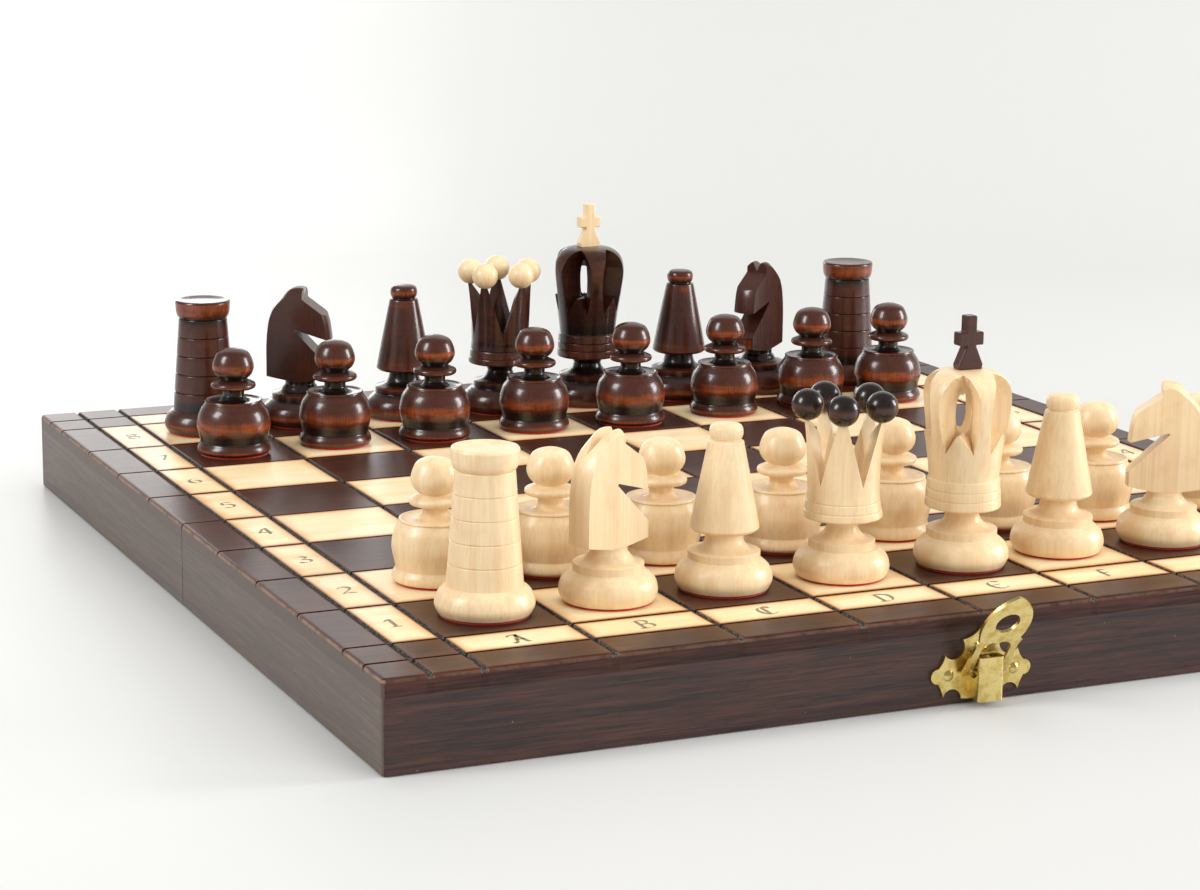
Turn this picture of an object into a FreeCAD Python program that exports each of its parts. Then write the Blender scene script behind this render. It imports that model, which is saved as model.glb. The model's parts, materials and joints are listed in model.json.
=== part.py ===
"""Folding wooden chess set: two half boxes hinged into one board, with its clasp and 32 men.

Millimetres.  +X runs along the files from a to h, +Y from white's side to black's, +Z is up.
The origin is the middle of the opened board, in the plane that its rims stand on.
"""
import FreeCAD, Part
import math
import os
from FreeCAD import Placement, Rotation, Vector

os.makedirs("parts", exist_ok=True)

# ---- board ----------------------------------------------------------------------------------
SQUARE = 32.4               # one playing square
STRIP_SIDE = 13.0           # light strip with the rank numbers
STRIP_FRONT = 13.8          # light strip with the file letters
MARGIN_SIDE = 11.5          # dark outer margin at the sides
MARGIN_FRONT = 12.7         # dark outer margin at the front and back
THICK = 22.7                # whole thickness of one half
PANEL = 4.5                 # playing panel, glued on the rails
RAIL = 10.0                 # rail thickness
SEAM_GAP = 0.3              # gap between the opened halves
CORNER_ROUND = 1.2
TOP_ROUND = 1.0
FOOT_ROUND = 0.4
FILE_GROOVE = (1.6, 0.8)    # width and depth of the grooves between the files
RANK_GROOVE = (0.8, 0.8)    # width and depth of the grooves between the ranks
GROOVE_FLOOR = 0.6          # floor width of a groove as a share of its mouth

GRID = 4 * SQUARE
HALF_WIDTH = GRID + STRIP_SIDE + MARGIN_SIDE
HALF_DEPTH = GRID + STRIP_FRONT + MARGIN_FRONT
RAIL_TOP = THICK - PANEL

# ---- hinges ---------------------------------------------------------------------------------
HINGE_X = 95.0              # from the board's middle to each hinge
HINGE_LONG = 22.0
KNUCKLES = 3
KNUCKLE_GAP = 0.2
BARREL_R = 1.0
HINGE_PIN_R = 0.5
PIN_CLEARANCE = 0.05
FOLD_Z = -0.1               # height of the fold axis
LEAF_THICK = 0.8
LEAF_DEEP = 7.5
LEAF_START = 1.35           # a leaf's edge beside the other leaf's knuckles
TRENCH_R = 1.35             # hollow in the rails around the knuckles
SCREW_X = 6.5
SCREW_Y = 4.8
SCREW_HEAD_R = 1.5
SCREW_R = 0.75
SCREW_LONG = 6.5

# ---- clasp ----------------------------------------------------------------------------------
PLATE = 0.8                 # sheet thickness of all the clasp's pieces
PIVOT_Z = 9.0
PIVOT_OUT = 2.7             # pivot axis from the rail's face
PIVOT_R = 0.9
PIVOT_HALF = 4.9            # the pivot ends inside the lever's arms
LUG_X = (1.4, 2.4)
LUG_R = 1.5
HOUSE_HALF = 3.5
HOUSE_OUT = 6.0
HOUSE_WALL = 0.7
HOUSE_Z = (1.5, 12.5)
HOUSE_ROUND = 1.1
NOTCH_R = 2.1
TONGUE_HALF = 2.2           # spring tongue that stands up inside the housing
LEVER_LEAN = 33.0           # how far the open lever leans out from upright
LEVER_X = (4.0, 6.3)        # inner and outer side of an arm
ARM_END = 1.5               # how far the arms go on past the pivot
EYE_AT = 16.4               # middle of the eye, from the pivot
EYE_R = 3.2
NAIL_SPOTS = ((-9.2, 7.5), (9.2, 7.5), (0.0, 14.2))
NAIL_HEAD_R = 1.45
NAIL_DOME = 0.75
NAIL_R = 0.55
NAIL_LONG = 6.5
HOOK_HALF = 1.8
HOOK_Z = (5.6, 8.8)
HOOK_OUT = 4.7

# ---- men, heights above the board's top --------------------------------------------------------
FELT = 0.6
FELT_R = 10.8
PAWN_FELT_R = 9.9
BALL_R = 4.03               # queen's crown balls
BALL_RING = 9.7
BALL_Z = 44.3
CROWN_POINTS = 5
KING_TURN = {"white": 230.5, "black": 226.0}    # azimuth of one window
KING_WINDOW = {"white": 2.0, "black": 1.1}      # half width of a window where it meets the hollow
QUEEN_TURN = {"white": 238.0, "black": 218.0}   # azimuth of one ball
KNIGHT_TURN = {"b1": 18.0, "g1": 150.0, "b8": -34.0, "g8": 212.0}   # azimuth of the nose
# Where a man stands off the middle of its square.
OFF_CENTRE = {"a1": (1.0, 0.0), "b1": (1.0, 0.0), "d1": (0.5, -0.5), "e1": (2.5, -1.5),
              "f1": (1.0, 1.5), "g1": (1.0, 0.5), "a2": (1.0, 0.5), "b2": (-0.5, 0.0),
              "c2": (-1.5, 1.0), "d2": (0.5, 0.0), "e2": (1.5, 1.0), "f2": (2.0, 1.0),
              "a7": (-1.0, -1.0), "b7": (-1.0, 1.0), "c7": (-2.0, -1.0), "d7": (-1.0, 0.0),
              "e7": (-1.5, -2.0), "f7": (0.5, 1.0), "g7": (0.5, 3.0), "h7": (-4.0, 2.0),
              "b8": (-1.0, 1.5), "c8": (0.5, 0.0), "d8": (0.0, -2.0), "e8": (-1.5, -1.0),
              "f8": (-1.5, -2.0), "g8": (-4.5, -1.5), "h8": (-3.0, 0.0)}
BACK_RANK = ("rook", "knight", "bishop", "queen", "king", "bishop", "knight", "rook")


# ---- helpers --------------------------------------------------------------------------------
def save(name, *solids):
    """Write one node: a single solid or a group of separate solids."""
    found = [piece for solid in solids for piece in solid.Solids]
    for piece in found:
        if not piece.isValid():
            print("INVALID", name)
    shape = found[0] if len(found) == 1 else Part.makeCompound(found)
    shape.exportStep("parts/%s.step" % name)


def box(low, high):
    size = [b - a for a, b in zip(low, high)]
    return Part.makeBox(*size, Vector(*low))


def prism(points, start, direction):
    """Extrude a closed polygon, given as corner points, along a direction."""
    wire = Part.makePolygon([Vector(*p) for p in points + points[:1]])
    face = Part.Face(wire)
    face.translate(Vector(*start))
    return face.extrude(Vector(*direction))


def rod(radius, length, middle, axis):
    """Cylinder centred on a point."""
    axis = Vector(*axis)
    return Part.makeCylinder(radius, length, Vector(*middle) - axis * (length / 2), axis)


def chain(start, stretches):
    """Closed face in the XZ plane from (x, z) stretches: 1 point a line, 2 an arc, more a spline."""
    def at(point):
        return Vector(point[0], 0, point[1])
    edges = []
    here = start
    for stretch in stretches:
        if len(stretch) == 1:
            edges.append(Part.LineSegment(at(here), at(stretch[0])).toShape())
        elif len(stretch) == 2:
            edges.append(Part.Arc(at(here), at(stretch[0]), at(stretch[1])).toShape())
        else:
            curve = Part.BSplineCurve()
            curve.interpolate([at(here)] + [at(p) for p in stretch])
            edges.append(curve.toShape())
        here = stretch[-1]
    if math.dist(here, start) > 1e-6:
        edges.append(Part.LineSegment(at(here), at(start)).toShape())
    return Part.Face(Part.Wire(edges))


def turned(start, stretches):
    """Solid of revolution about Z from a profile that starts and ends on the axis."""
    return chain(start, stretches).revolve(Vector(0, 0, 0), Vector(0, 0, 1), 360)


def mirrored_chain(start, stretches):
    """Face symmetric about x = 0 from its right half, which runs from bottom to top."""
    left = []
    points = [start] + [stretch[-1] for stretch in stretches]
    for index in range(len(stretches) - 1, -1, -1):
        back = list(reversed(stretches[index][:-1])) + [points[index]]
        left.append([(-x, z) for x, z in back])
    return chain(start, stretches + left)


def turn_z(shape, degrees):
    turned_shape = shape.copy()
    turned_shape.rotate(Vector(0, 0, 0), Vector(0, 0, 1), degrees)
    return turned_shape


# ---- board ----------------------------------------------------------------------------------
def envelope(side):
    """Outer form of one half, with its rounded corners; side is -1 for the front, 1 for the rear."""
    near, far = SEAM_GAP / 2, HALF_DEPTH
    low_y, high_y = (near, far) if side > 0 else (-far, -near)
    solid = box((-HALF_WIDTH, low_y, 0), (HALF_WIDTH, high_y, THICK))
    outer = side * far

    def edges_where(test):
        return [edge for edge in solid.Edges if test(edge.BoundBox)]
    corners = edges_where(lambda b: b.ZLength > 1 and abs(b.YMin - outer) < 1e-3)
    solid = solid.makeFillet(CORNER_ROUND, corners)
    for height, radius in ((THICK, TOP_ROUND), (0.0, FOOT_ROUND)):
        rim = edges_where(lambda b: b.ZLength < 1e-3 and abs(b.ZMin - height) < 1e-3
                          and not (b.YLength < 1e-3 and abs(b.YMin - side * near) < 1e-3))
        solid = solid.makeFillet(radius, rim)
    return solid


def groove(along_x, at, size):
    """Cutter for one groove across the whole panel."""
    mouth, deep = size[0] / 2, size[1]
    floor = mouth * GROOVE_FLOOR
    over = 0.5
    spread = mouth + (mouth - floor) * over / deep
    section = [(-spread, over), (-floor, -deep), (floor, -deep), (spread, over)]
    if along_x:
        corners = [(-HALF_WIDTH - 1, at + u, THICK + w) for u, w in section]
        return prism(corners, (0, 0, 0), (2 * HALF_WIDTH + 2, 0, 0))
    corners = [(at + u, -HALF_DEPTH - 1, THICK + w) for u, w in section]
    return prism(corners, (0, 0, 0), (0, 2 * HALF_DEPTH + 2, 0))


def panel(side, form):
    """Playing panel of one half with its milled grooves."""
    solid = form.common(box((-400, -400, RAIL_TOP), (400, 400, THICK + 1)))
    strips = [-GRID - STRIP_SIDE, GRID + STRIP_SIDE]
    files = strips + [SQUARE * k for k in range(-4, 5)]
    ranks = [side * SQUARE * k for k in range(1, 5)] + [side * (GRID + STRIP_FRONT)]
    for x in files:
        solid = solid.cut(groove(False, x, FILE_GROOVE))
    for y in ranks:
        solid = solid.cut(groove(True, y, RANK_GROOVE))
    return solid


def rail(side, place, form):
    """One mitred rail: place is latch, hinge, left or right."""
    x0, x1 = HALF_WIDTH, HALF_WIDTH - RAIL
    y_out, y_seam = side * HALF_DEPTH, side * SEAM_GAP / 2
    y_out_in, y_seam_in = y_out - side * RAIL, y_seam + side * RAIL
    outlines = {
        "latch": [(-x0, y_out), (x0, y_out), (x1, y_out_in), (-x1, y_out_in)],
        "hinge": [(-x0, y_seam), (x0, y_seam), (x1, y_seam_in), (-x1, y_seam_in)],
        "left": [(-x0, y_out), (-x1, y_out_in), (-x1, y_seam_in), (-x0, y_seam)],
        "right": [(x0, y_out), (x1, y_out_in), (x1, y_seam_in), (x0, y_seam)]}
    corners = [(x, y, 0) for x, y in outlines[place]]
    return prism(corners, (0, 0, 0), (0, 0, RAIL_TOP)).common(form)


# ---- hinges ---------------------------------------------------------------------------------
def knuckle_span(index):
    step = HINGE_LONG / KNUCKLES
    start = -HINGE_LONG / 2 + index * step
    return start + KNUCKLE_GAP / 2, start + step - KNUCKLE_GAP / 2


def screw(side, x, hinge_x):
    """Countersunk screw, driven up into the hinge rail."""
    place = Vector(hinge_x + x, side * SCREW_Y, 0)
    head = Part.makeCone(SCREW_HEAD_R, SCREW_R, LEAF_THICK, place, Vector(0, 0, 1))
    shank = Part.makeCylinder(SCREW_R, SCREW_LONG - 1.5, place + Vector(0, 0, LEAF_THICK))
    tip = Part.makeCone(SCREW_R, 0.15, 1.5, place + Vector(0, 0, LEAF_THICK + SCREW_LONG - 1.5))
    slot = box((-SCREW_HEAD_R, -0.15, -0.1), (SCREW_HEAD_R, 0.15, 0.35))
    slot.translate(place)
    return head.fuse([shank, tip]).cut(slot)


def screws(side):
    return [screw(side, x, hinge_x) for hinge_x in (-HINGE_X, HINGE_X) for x in (-SCREW_X, SCREW_X)]


def leaf(side, hinge_x):
    """Hinge leaf with its own knuckles: the front leaf has the outer two, the rear the middle."""
    own = (0, 2) if side < 0 else (1,)
    bore = HINGE_PIN_R if side < 0 else HINGE_PIN_R + PIN_CLEARANCE
    y0, y1 = sorted((side * LEAF_START, side * LEAF_DEEP))
    solid = box((-HINGE_LONG / 2, y0, 0), (HINGE_LONG / 2, y1, LEAF_THICK))
    for index in own:
        x0, x1 = knuckle_span(index)
        tab_y = sorted((0, side * LEAF_START))
        solid = solid.fuse(box((x0, tab_y[0], 0), (x1, tab_y[1], LEAF_THICK)))
        solid = solid.fuse(rod(BARREL_R, x1 - x0, ((x0 + x1) / 2, 0, FOLD_Z), (1, 0, 0)))
    solid = solid.removeSplitter().cut(rod(bore, HINGE_LONG + 2, (0, 0, FOLD_Z), (1, 0, 0)))
    solid.translate(Vector(hinge_x, 0, 0))
    for piece in screws(side):
        solid = solid.cut(piece)
    return solid


def hinge_cutters(side):
    """What the hinges and their screws take out of a hinge rail."""
    cutters = []
    for hinge_x in (-HINGE_X, HINGE_X):
        half = HINGE_LONG / 2
        y0, y1 = sorted((0, side * LEAF_DEEP))
        cutters.append(box((hinge_x - half, y0, -1), (hinge_x + half, y1, LEAF_THICK)))
        cutters.append(rod(TRENCH_R, HINGE_LONG, (hinge_x, 0, FOLD_Z), (1, 0, 0)))
    for hinge_x in (-HINGE_X, HINGE_X):
        for x in (-SCREW_X, SCREW_X):
            place = Vector(hinge_x + x, side * SCREW_Y, LEAF_THICK)
            cutters.append(Part.makeCylinder(SCREW_R, SCREW_LONG, place))
    return cutters


# ---- clasp: built as on the front rail, looking along +Y -----------------------------------------
def on_face(shape):
    """Move a clasp piece from the XZ plane to the front rail's face."""
    shape.translate(Vector(0, -HALF_DEPTH, 0))
    return shape


def ornate_plate():
    """Lobed back plate with cusps, one side of its outline mirrored."""
    face = mirrored_chain((0, 1.0), [
        [(5.5, 1.4)],
        [(8.2, 4.0), (10.5, 2.2)],
        [(11.2, 4.2), (12.0, 5.6)],
        [(14.0, 7.5), (12.0, 9.4)],
        [(10.9, 10.8), (10.2, 12.6)],
        [(6.9, 11.6), (5.4, 16.2)],
        [(2.6, 17.0), (0, 19.4)]])
    return face.extrude(Vector(0, -PLATE, 0))


def nail_place(spot):
    return Vector(spot[0], 0, spot[1])


def nail(spot):
    """Round-headed nail through the plate."""
    ball_r = (NAIL_HEAD_R ** 2 + NAIL_DOME ** 2) / (2 * NAIL_DOME)
    dome = Part.makeSphere(ball_r, Vector(0, 0, NAIL_DOME - ball_r)).common(box((-5, -5, 0), (5, 5, 5)))
    shank = Part.makeCylinder(NAIL_R, PLATE + NAIL_LONG - 1.5, Vector(0, 0, -PLATE - NAIL_LONG + 1.5))
    tip = Part.makeCone(0.1, NAIL_R, 1.5, Vector(0, 0, -PLATE - NAIL_LONG))
    solid = dome.fuse([shank, tip])
    solid.rotate(Vector(0, 0, 0), Vector(1, 0, 0), 90)
    solid.translate(nail_place(spot) + Vector(0, -PLATE, 0))
    return solid


def nail_holes():
    """The nails' shanks, as cutters for the plate and the rail."""
    return [Part.makeCylinder(NAIL_R, NAIL_LONG + PLATE + 2, nail_place(spot) + Vector(0, -2, 0),
                              Vector(0, 1, 0)) for spot in NAIL_SPOTS]


def spring_tongue():
    """Bent leaf from the back plate up through the top of the housing."""
    root, rise, tip = (PLATE / 2, 11.3), (2.1, 12.4), (3.9, 12.9)
    thick = 0.5
    side = [root, rise, tip] + [(out, z + thick) for out, z in (tip, rise, root)]
    return prism([(-TONGUE_HALF, -out, z) for out, z in side], (0, 0, 0), (2 * TONGUE_HALF, 0, 0))


def clasp_plate():
    """Back plate, spring housing and the two lugs that carry the pivot, folded from one sheet."""
    solid = ornate_plate()
    z0, z1 = HOUSE_Z
    outer = box((-HOUSE_HALF, -HOUSE_OUT, z0), (HOUSE_HALF, -PLATE / 2, z1))
    front = [e for e in outer.Edges if e.BoundBox.ZLength > 1 and abs(e.BoundBox.YMin + HOUSE_OUT) < 1e-3]
    outer = outer.makeFillet(HOUSE_ROUND, front)
    inner = box((-HOUSE_HALF + HOUSE_WALL, -HOUSE_OUT + HOUSE_WALL, z0 - 1),
                (HOUSE_HALF - HOUSE_WALL, 0, z1 + 1))
    notch = rod(NOTCH_R, 4 * HOUSE_HALF, (0, -PIVOT_OUT, PIVOT_Z), (1, 0, 0))
    back = box((-20, -PLATE, -5), (20, 5, 30))
    solid = solid.fuse(outer.cut(inner).cut(notch.cut(back)))
    for sign in (-1, 1):
        x0, x1 = sorted((sign * LUG_X[0], sign * LUG_X[1]))
        lug = box((x0, -PIVOT_OUT, PIVOT_Z - LUG_R), (x1, -PLATE / 2, PIVOT_Z + LUG_R))
        lug = lug.fuse(rod(LUG_R, x1 - x0, ((x0 + x1) / 2, -PIVOT_OUT, PIVOT_Z), (1, 0, 0)))
        solid = solid.fuse(lug)
    solid = solid.fuse(spring_tongue())
    solid = solid.cut(rod(PIVOT_R + PIN_CLEARANCE, 20, (0, -PIVOT_OUT, PIVOT_Z), (1, 0, 0)))
    for hole in nail_holes():
        solid = solid.cut(hole)
    return on_face(solid)


def clasp_lever():
    """Forked ring lever of flat sheet: two arms beside the housing, a ring with a round eye above."""
    inner, outer = LEVER_X
    face = mirrored_chain((0, 9.4), [
        [(inner * 0.75, 9.2), (inner, 6.6)],
        [(inner, -ARM_END)],
        [(outer, -ARM_END)],
        [(outer - 0.4, 7.6)],
        [(outer - 0.2, 8.8), (outer + 0.3, 9.8)],
        [(outer - 0.5, 10.3), (outer - 0.5, 11.2)],
        [(outer + 0.15, 13.4), (outer + 0.2, 17.0)],
        [(4.5, 21.8), (0, 25.2)]])
    eye = Part.Face(Part.Wire([Part.Circle(Vector(0, 0, EYE_AT), Vector(0, 1, 0), EYE_R).toShape()]))
    solid = face.cut(eye).extrude(Vector(0, -PLATE, 0))
    solid.translate(Vector(0, PLATE / 2, 0))
    solid = solid.cut(rod(PIVOT_R, 2 * PIVOT_HALF, (0, 0, 0), (1, 0, 0)))
    solid.rotate(Vector(0, 0, 0), Vector(1, 0, 0), LEVER_LEAN)
    solid.translate(Vector(0, -PIVOT_OUT, PIVOT_Z))
    return on_face(solid)


def catch_plate():
    """Matching plate for the rear half, with a turned-up hook that the eye drops over."""
    hook = chain((PLATE / 2, HOOK_Z[0]), [
        [(HOOK_OUT - 0.9, HOOK_Z[0])],
        [(HOOK_OUT - 0.25, HOOK_Z[0] + 0.25), (HOOK_OUT, HOOK_Z[0] + 0.9)],
        [(HOOK_OUT, HOOK_Z[1])],
        [(HOOK_OUT - PLATE, HOOK_Z[1])],
        [(HOOK_OUT - PLATE, HOOK_Z[0] + PLATE)],
        [(PLATE / 2, HOOK_Z[0] + PLATE)]])
    hook = hook.extrude(Vector(0, 2 * HOOK_HALF, 0))
    hook.rotate(Vector(0, 0, 0), Vector(0, 0, 1), -90)
    hook.translate(Vector(-HOOK_HALF, 0, 0))
    solid = ornate_plate().fuse(hook)
    for hole in nail_holes():
        solid = solid.cut(hole)
    return on_face(solid)


# ---- men: each is built on the Z axis, its foot at z = 0 ------------------------------------------
BUN = [[(11.3, FELT)],
       [(12.2, 2.8), (11.5, 5.7), (9.4, 7.75)]]      # swelling base of the larger men


def felt(radius):
    return Part.makeCylinder(radius, FELT)


def stem_base(rim, neck, neck_z):
    """Bun base, its small step and the hollow sweep up to the neck."""
    return BUN + [[(rim, 7.9)], [(rim, 9.7)], [(rim - 0.3, 9.95), (rim - 2.6, 10.6),
                                               (neck + 0.6, 11.9), (neck, neck_z)]]


def pawn(colour):
    """Round-bodied pawn; the dark ones are turned rounder, the light ones more barrel-like."""
    belly = [(10.9, 9.2), (10.3, 13.0), (9.1, 15.4)] if colour == "white" else \
            [(10.9, 8.8), (10.1, 12.8), (8.5, 15.4)]
    rim = belly[-1][0]
    return turned((0, FELT), [
        [(10.3, FELT)],
        [(10.9, 1.3), (10.7, 2.6), (9.9, 3.9)],
        [(10.2, 5.4)] + belly,
        [(rim - 0.2, 15.6)],
        [(rim, 16.2), (rim - 0.5, 16.4)],
        [(rim - 1.4, 16.0), (4.6, 16.1), (3.2, 17.5)],
        [(3.2, 19.2)],
        [(6.0, 19.7)],
        [(6.65, 20.6), (5.9, 21.6)],
        [(3.9, 22.5)],
        [(5.5, 24.1), (6.1, 26.6), (4.8, 30.1), (2.5, 31.4), (0, 31.8)]])


def rook():
    bands, top_z = 5, 35.6
    low_r, high_r, low_z = 9.4, 7.3, 7.3
    band = (top_z - low_z) / bands
    stretches = [[(11.3, FELT)], [(12.2, 2.8), (11.3, 5.7), (low_r + 0.25, low_z)]]
    nick, nick_deep = 0.25, 0.3
    for index in range(bands):
        for step in (0, band - nick):
            z = low_z + index * band + step
            stretches.append([(low_r + (high_r - low_r) * (z - low_z) / (top_z - low_z), z)])
        z += nick / 2
        stretches.append([(low_r + (high_r - low_r) * (z - low_z) / (top_z - low_z) - nick_deep, z)])
    stretches += [[(high_r, top_z)], [(7.8, 36.3), (8.15, 37.6), (8.35, 40.4)], [(8.0, 41.0)],
                  [(7.4, 41.0)], [(5.0, 40.6), (2.0, 40.45), (0, 40.4)]]
    return turned((0, FELT), stretches)


def bishop():
    return turned((0, FELT), stem_base(9.05, 4.5, 14.4) + [
        [(7.9, 15.0)], [(8.7, 15.7)],
        [(6.7, 26.0), (4.4, 37.4)],
        [(3.6, 37.6)], [(3.6, 38.0)], [(3.95, 38.2)],
        [(4.25, 39.5), (3.95, 41.0), (2.9, 41.7), (0, 42.0)]])


def knight(turn):
    """Turned base and bullet-shaped head; the head is flattened, then sawn to a forehead and a mouth."""
    head_z, neck_r, head_r, thick = 13.8, 4.6, 10.4, 7.4
    blank = turned((0, FELT), stem_base(8.75, neck_r, 12.6) + [
        [(neck_r, head_z)], [(head_r, 15.0)], [(head_r, 24.0)],
        [(10.1, 28.5), (9.5, 32.5), (8.5, 35.5), (7.2, 37.6), (5.2, 39.8), (3.9, 41.4),
         (2.6, 42.6), (0, 43.4)]])
    cheeks = [box((-15, low, head_z), (15, high, 50)) for low, high in ((-15, -thick / 2), (thick / 2, 15))]
    forehead = prism([(1.8, -15, 50), (1.8, -15, 39.4), (16, -15, 29.4), (16, -15, 50)],
                     (0, 0, 0), (0, 30, 0))
    mouth = prism([(-0.3, -15, 29.1), (-0.3, -15, 29.6), (15, -15, 25.4), (15, -15, 13.9)],
                  (0, 0, 0), (0, 30, 0))
    back, fall = 15, 0.3
    parting = prism([(-back, 0, 39.4 - back * fall), (-back, -3.6, 46 - back * fall),
                     (-back, 3.6, 46 - back * fall)], (0, 0, 0), (2 * back, 0, 2 * back * fall))
    for cutter in cheeks + [forehead, mouth, parting]:
        blank = blank.cut(cutter)
    return turn_z(blank, turn)


def spokes(cutter, turn):
    """The same cutter at each of the crown's points."""
    return [turn_z(cutter, turn + 360 * k / CROWN_POINTS) for k in range(CROWN_POINTS)]


def queen_ball(place):
    return Part.makeSphere(BALL_R, place)


def queen_ball_places(turn):
    angles = [math.radians(turn + 360 * k / CROWN_POINTS) for k in range(CROWN_POINTS)]
    return [Vector(BALL_RING * math.cos(a), BALL_RING * math.sin(a), BALL_Z) for a in angles]


def queen(turn):
    """Hollow crown cut into five points, each with a seat for its ball."""
    outer = turned((0, FELT), stem_base(8.4, 3.9, 13.1) + [
        [(5.0, 14.9), (9.6, 15.5)],
        [(10.1, 15.9)], [(9.9, 17.4)], [(9.6, 17.6)], [(9.75, 17.8)],
        [(9.4, 19.8)], [(9.2, 20.0)], [(9.35, 20.2)],
        [(9.1, 22.3)],
        [(9.15, 28.0), (9.6, 36.0), (10.6, 43.0)],
        [(0, 43.0)]])
    hollow = turned((0, 24.0), [[(5.6, 24.0)], [(6.9, 44.0)], [(0, 44.0)]])
    notch = prism([(0, 0, 24.4), (0, -6.1, 44), (0, 6.1, 44)], (2.0, 0, 0), (12, 0, 0))
    solid = outer.cut(hollow)
    for cutter in spokes(notch, turn + 180 / CROWN_POINTS):
        solid = solid.cut(cutter)
    for place in queen_ball_places(turn):
        solid = solid.cut(queen_ball(place))
    return max(solid.Solids, key=lambda piece: piece.Volume)


def king(turn, open_half):
    """Egg-shaped hollow crown with five pointed windows, each open_half to either side inside."""
    outer = turned((0, FELT), stem_base(9.05, 4.3, 13.4) + [
        [(5.4, 14.9), (9.5, 15.5)],
        [(9.75, 15.9)], [(9.65, 17.9)], [(9.4, 18.05)], [(9.6, 18.2)],
        [(9.5, 20.3)], [(9.25, 20.45)], [(9.45, 20.6)], [(9.3, 22.9)],
        [(8.9, 23.1)],
        [(9.6, 29.5), (10.7, 36.5), (11.5, 43.4), (10.5, 47.8), (7.9, 50.2), (4.6, 51.0)],
        [(0, 51.0)]])
    hollow = turned((0, 33.5), [[(3.6, 33.5)],
                                [(4.3, 36.5), (4.5, 42.0), (3.6, 46.0), (0, 47.4)]])

    def window(half, out):
        points = half + [(-t, z) for t, z in reversed(half[1:-1])]
        return Part.makePolygon([Vector(out, t, z) for t, z in points + points[:1]])
    inner = [(0, 47.0), (0.5 * open_half, 46.6), (0.95 * open_half, 42.1), (open_half, 36.1),
             (0.9 * open_half, 34.3), (0, 35.4)]
    outer_rim = [(0, 57.9), (5.8, 46.6), (7.1, 40.8), (6.3, 34.8), (5.0, 27.5), (0, 35.4)]
    cutter = Part.makeLoft([window(inner, 4.0), window(outer_rim, 13.0)], True, True)
    solid = outer.cut(hollow)
    for piece in spokes(cutter, turn):
        solid = solid.cut(piece)
    return max(solid.Solids, key=lambda piece: piece.Volume)


def king_cross():
    """Flat cross standing on the crown."""
    thick = 3.3
    face = mirrored_chain((0, 51.0), [
        [(3.3, 51.0)], [(3.5, 52.2)], [(1.3, 57.2)], [(3.5, 57.2)], [(3.5, 60.6)],
        [(1.45, 60.6)], [(1.45, 64.8)], [(0, 64.8)]])
    solid = face.extrude(Vector(0, thick, 0))
    solid.translate(Vector(0, -thick / 2, 0))
    return solid


def man_body(kind, colour, square):
    makers = {"pawn": lambda: pawn(colour), "rook": rook, "bishop": bishop,
              "knight": lambda: knight(KNIGHT_TURN[square]),
              "queen": lambda: queen(QUEEN_TURN[colour]),
              "king": lambda: king(KING_TURN[colour], KING_WINDOW[colour])}
    return makers[kind]()


def stand(shape, square):
    """Put a shape built on the Z axis on its square."""
    dx, dy = OFF_CENTRE.get(square, (0.0, 0.0))
    x = ("abcdefgh".index(square[0]) - 3.5) * SQUARE + dx
    y = (int(square[1]) - 4.5) * SQUARE + dy
    shape.translate(Vector(x, y, THICK))
    return shape


def make_man(kind, colour, square):
    name = "%s_%s" % (colour, kind)
    if kind not in ("queen", "king"):
        name += "_" + square[0]
    disc = felt(PAWN_FELT_R if kind == "pawn" else FELT_R)
    save(name, stand(man_body(kind, colour, square), square), stand(disc, square))
    if kind == "queen":
        balls = [stand(queen_ball(place), square) for place in queen_ball_places(QUEEN_TURN[colour])]
        save(name + "_balls", *balls)
    if kind == "king":
        save(name + "_cross", stand(king_cross(), square))


# ---- build ----------------------------------------------------------------------------------
def build_board():
    for half, side in (("front", -1), ("rear", 1)):
        form = envelope(side)
        save(half + "_panel", panel(side, form))
        for place in ("left", "right"):
            save("%s_%s_rail" % (half, place), rail(side, place, form))
        hinge_rail = rail(side, "hinge", form)
        for cutter in hinge_cutters(side):
            hinge_rail = hinge_rail.cut(cutter)
        save(half + "_hinge_rail", hinge_rail)
        latch_rail = rail(-1, "latch", envelope(-1))
        for hole in nail_holes():
            latch_rail = latch_rail.cut(on_face(hole))
        save(half + "_latch_rail", turn_z(latch_rail, 0 if side < 0 else 180))


def build_hinges():
    for half, side in (("front", -1), ("rear", 1)):
        save("hinge_leaves_" + half, leaf(side, -HINGE_X), leaf(side, HINGE_X))
        save("hinge_screws_" + half, *screws(side))
    save("hinge_pins", *[rod(HINGE_PIN_R, HINGE_LONG, (x, 0, FOLD_Z), (1, 0, 0))
                         for x in (-HINGE_X, HINGE_X)])


def build_clasp():
    save("clasp_plate", clasp_plate())
    save("clasp_lever", clasp_lever())
    save("clasp_pivot", on_face(rod(PIVOT_R, 2 * PIVOT_HALF, (0, -PIVOT_OUT, PIVOT_Z), (1, 0, 0))))
    nails = [on_face(nail(spot)) for spot in NAIL_SPOTS]
    save("clasp_nails", *nails)
    save("catch_plate", turn_z(catch_plate(), 180))
    save("catch_nails", *[turn_z(piece, 180) for piece in nails])


def build_men():
    for colour, back, front in (("white", "1", "2"), ("black", "8", "7")):
        for letter, kind in zip("abcdefgh", BACK_RANK):
            make_man(kind, colour, letter + back)
            make_man("pawn", colour, letter + front)


build_board()
build_hinges()
build_clasp()
build_men()
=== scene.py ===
"""Looks of the folding wooden chess set: panels, coordinates, men, felt, brass, table and light."""
import json
import math

import bmesh
import bpy
from mathutils import Matrix, Vector


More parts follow.
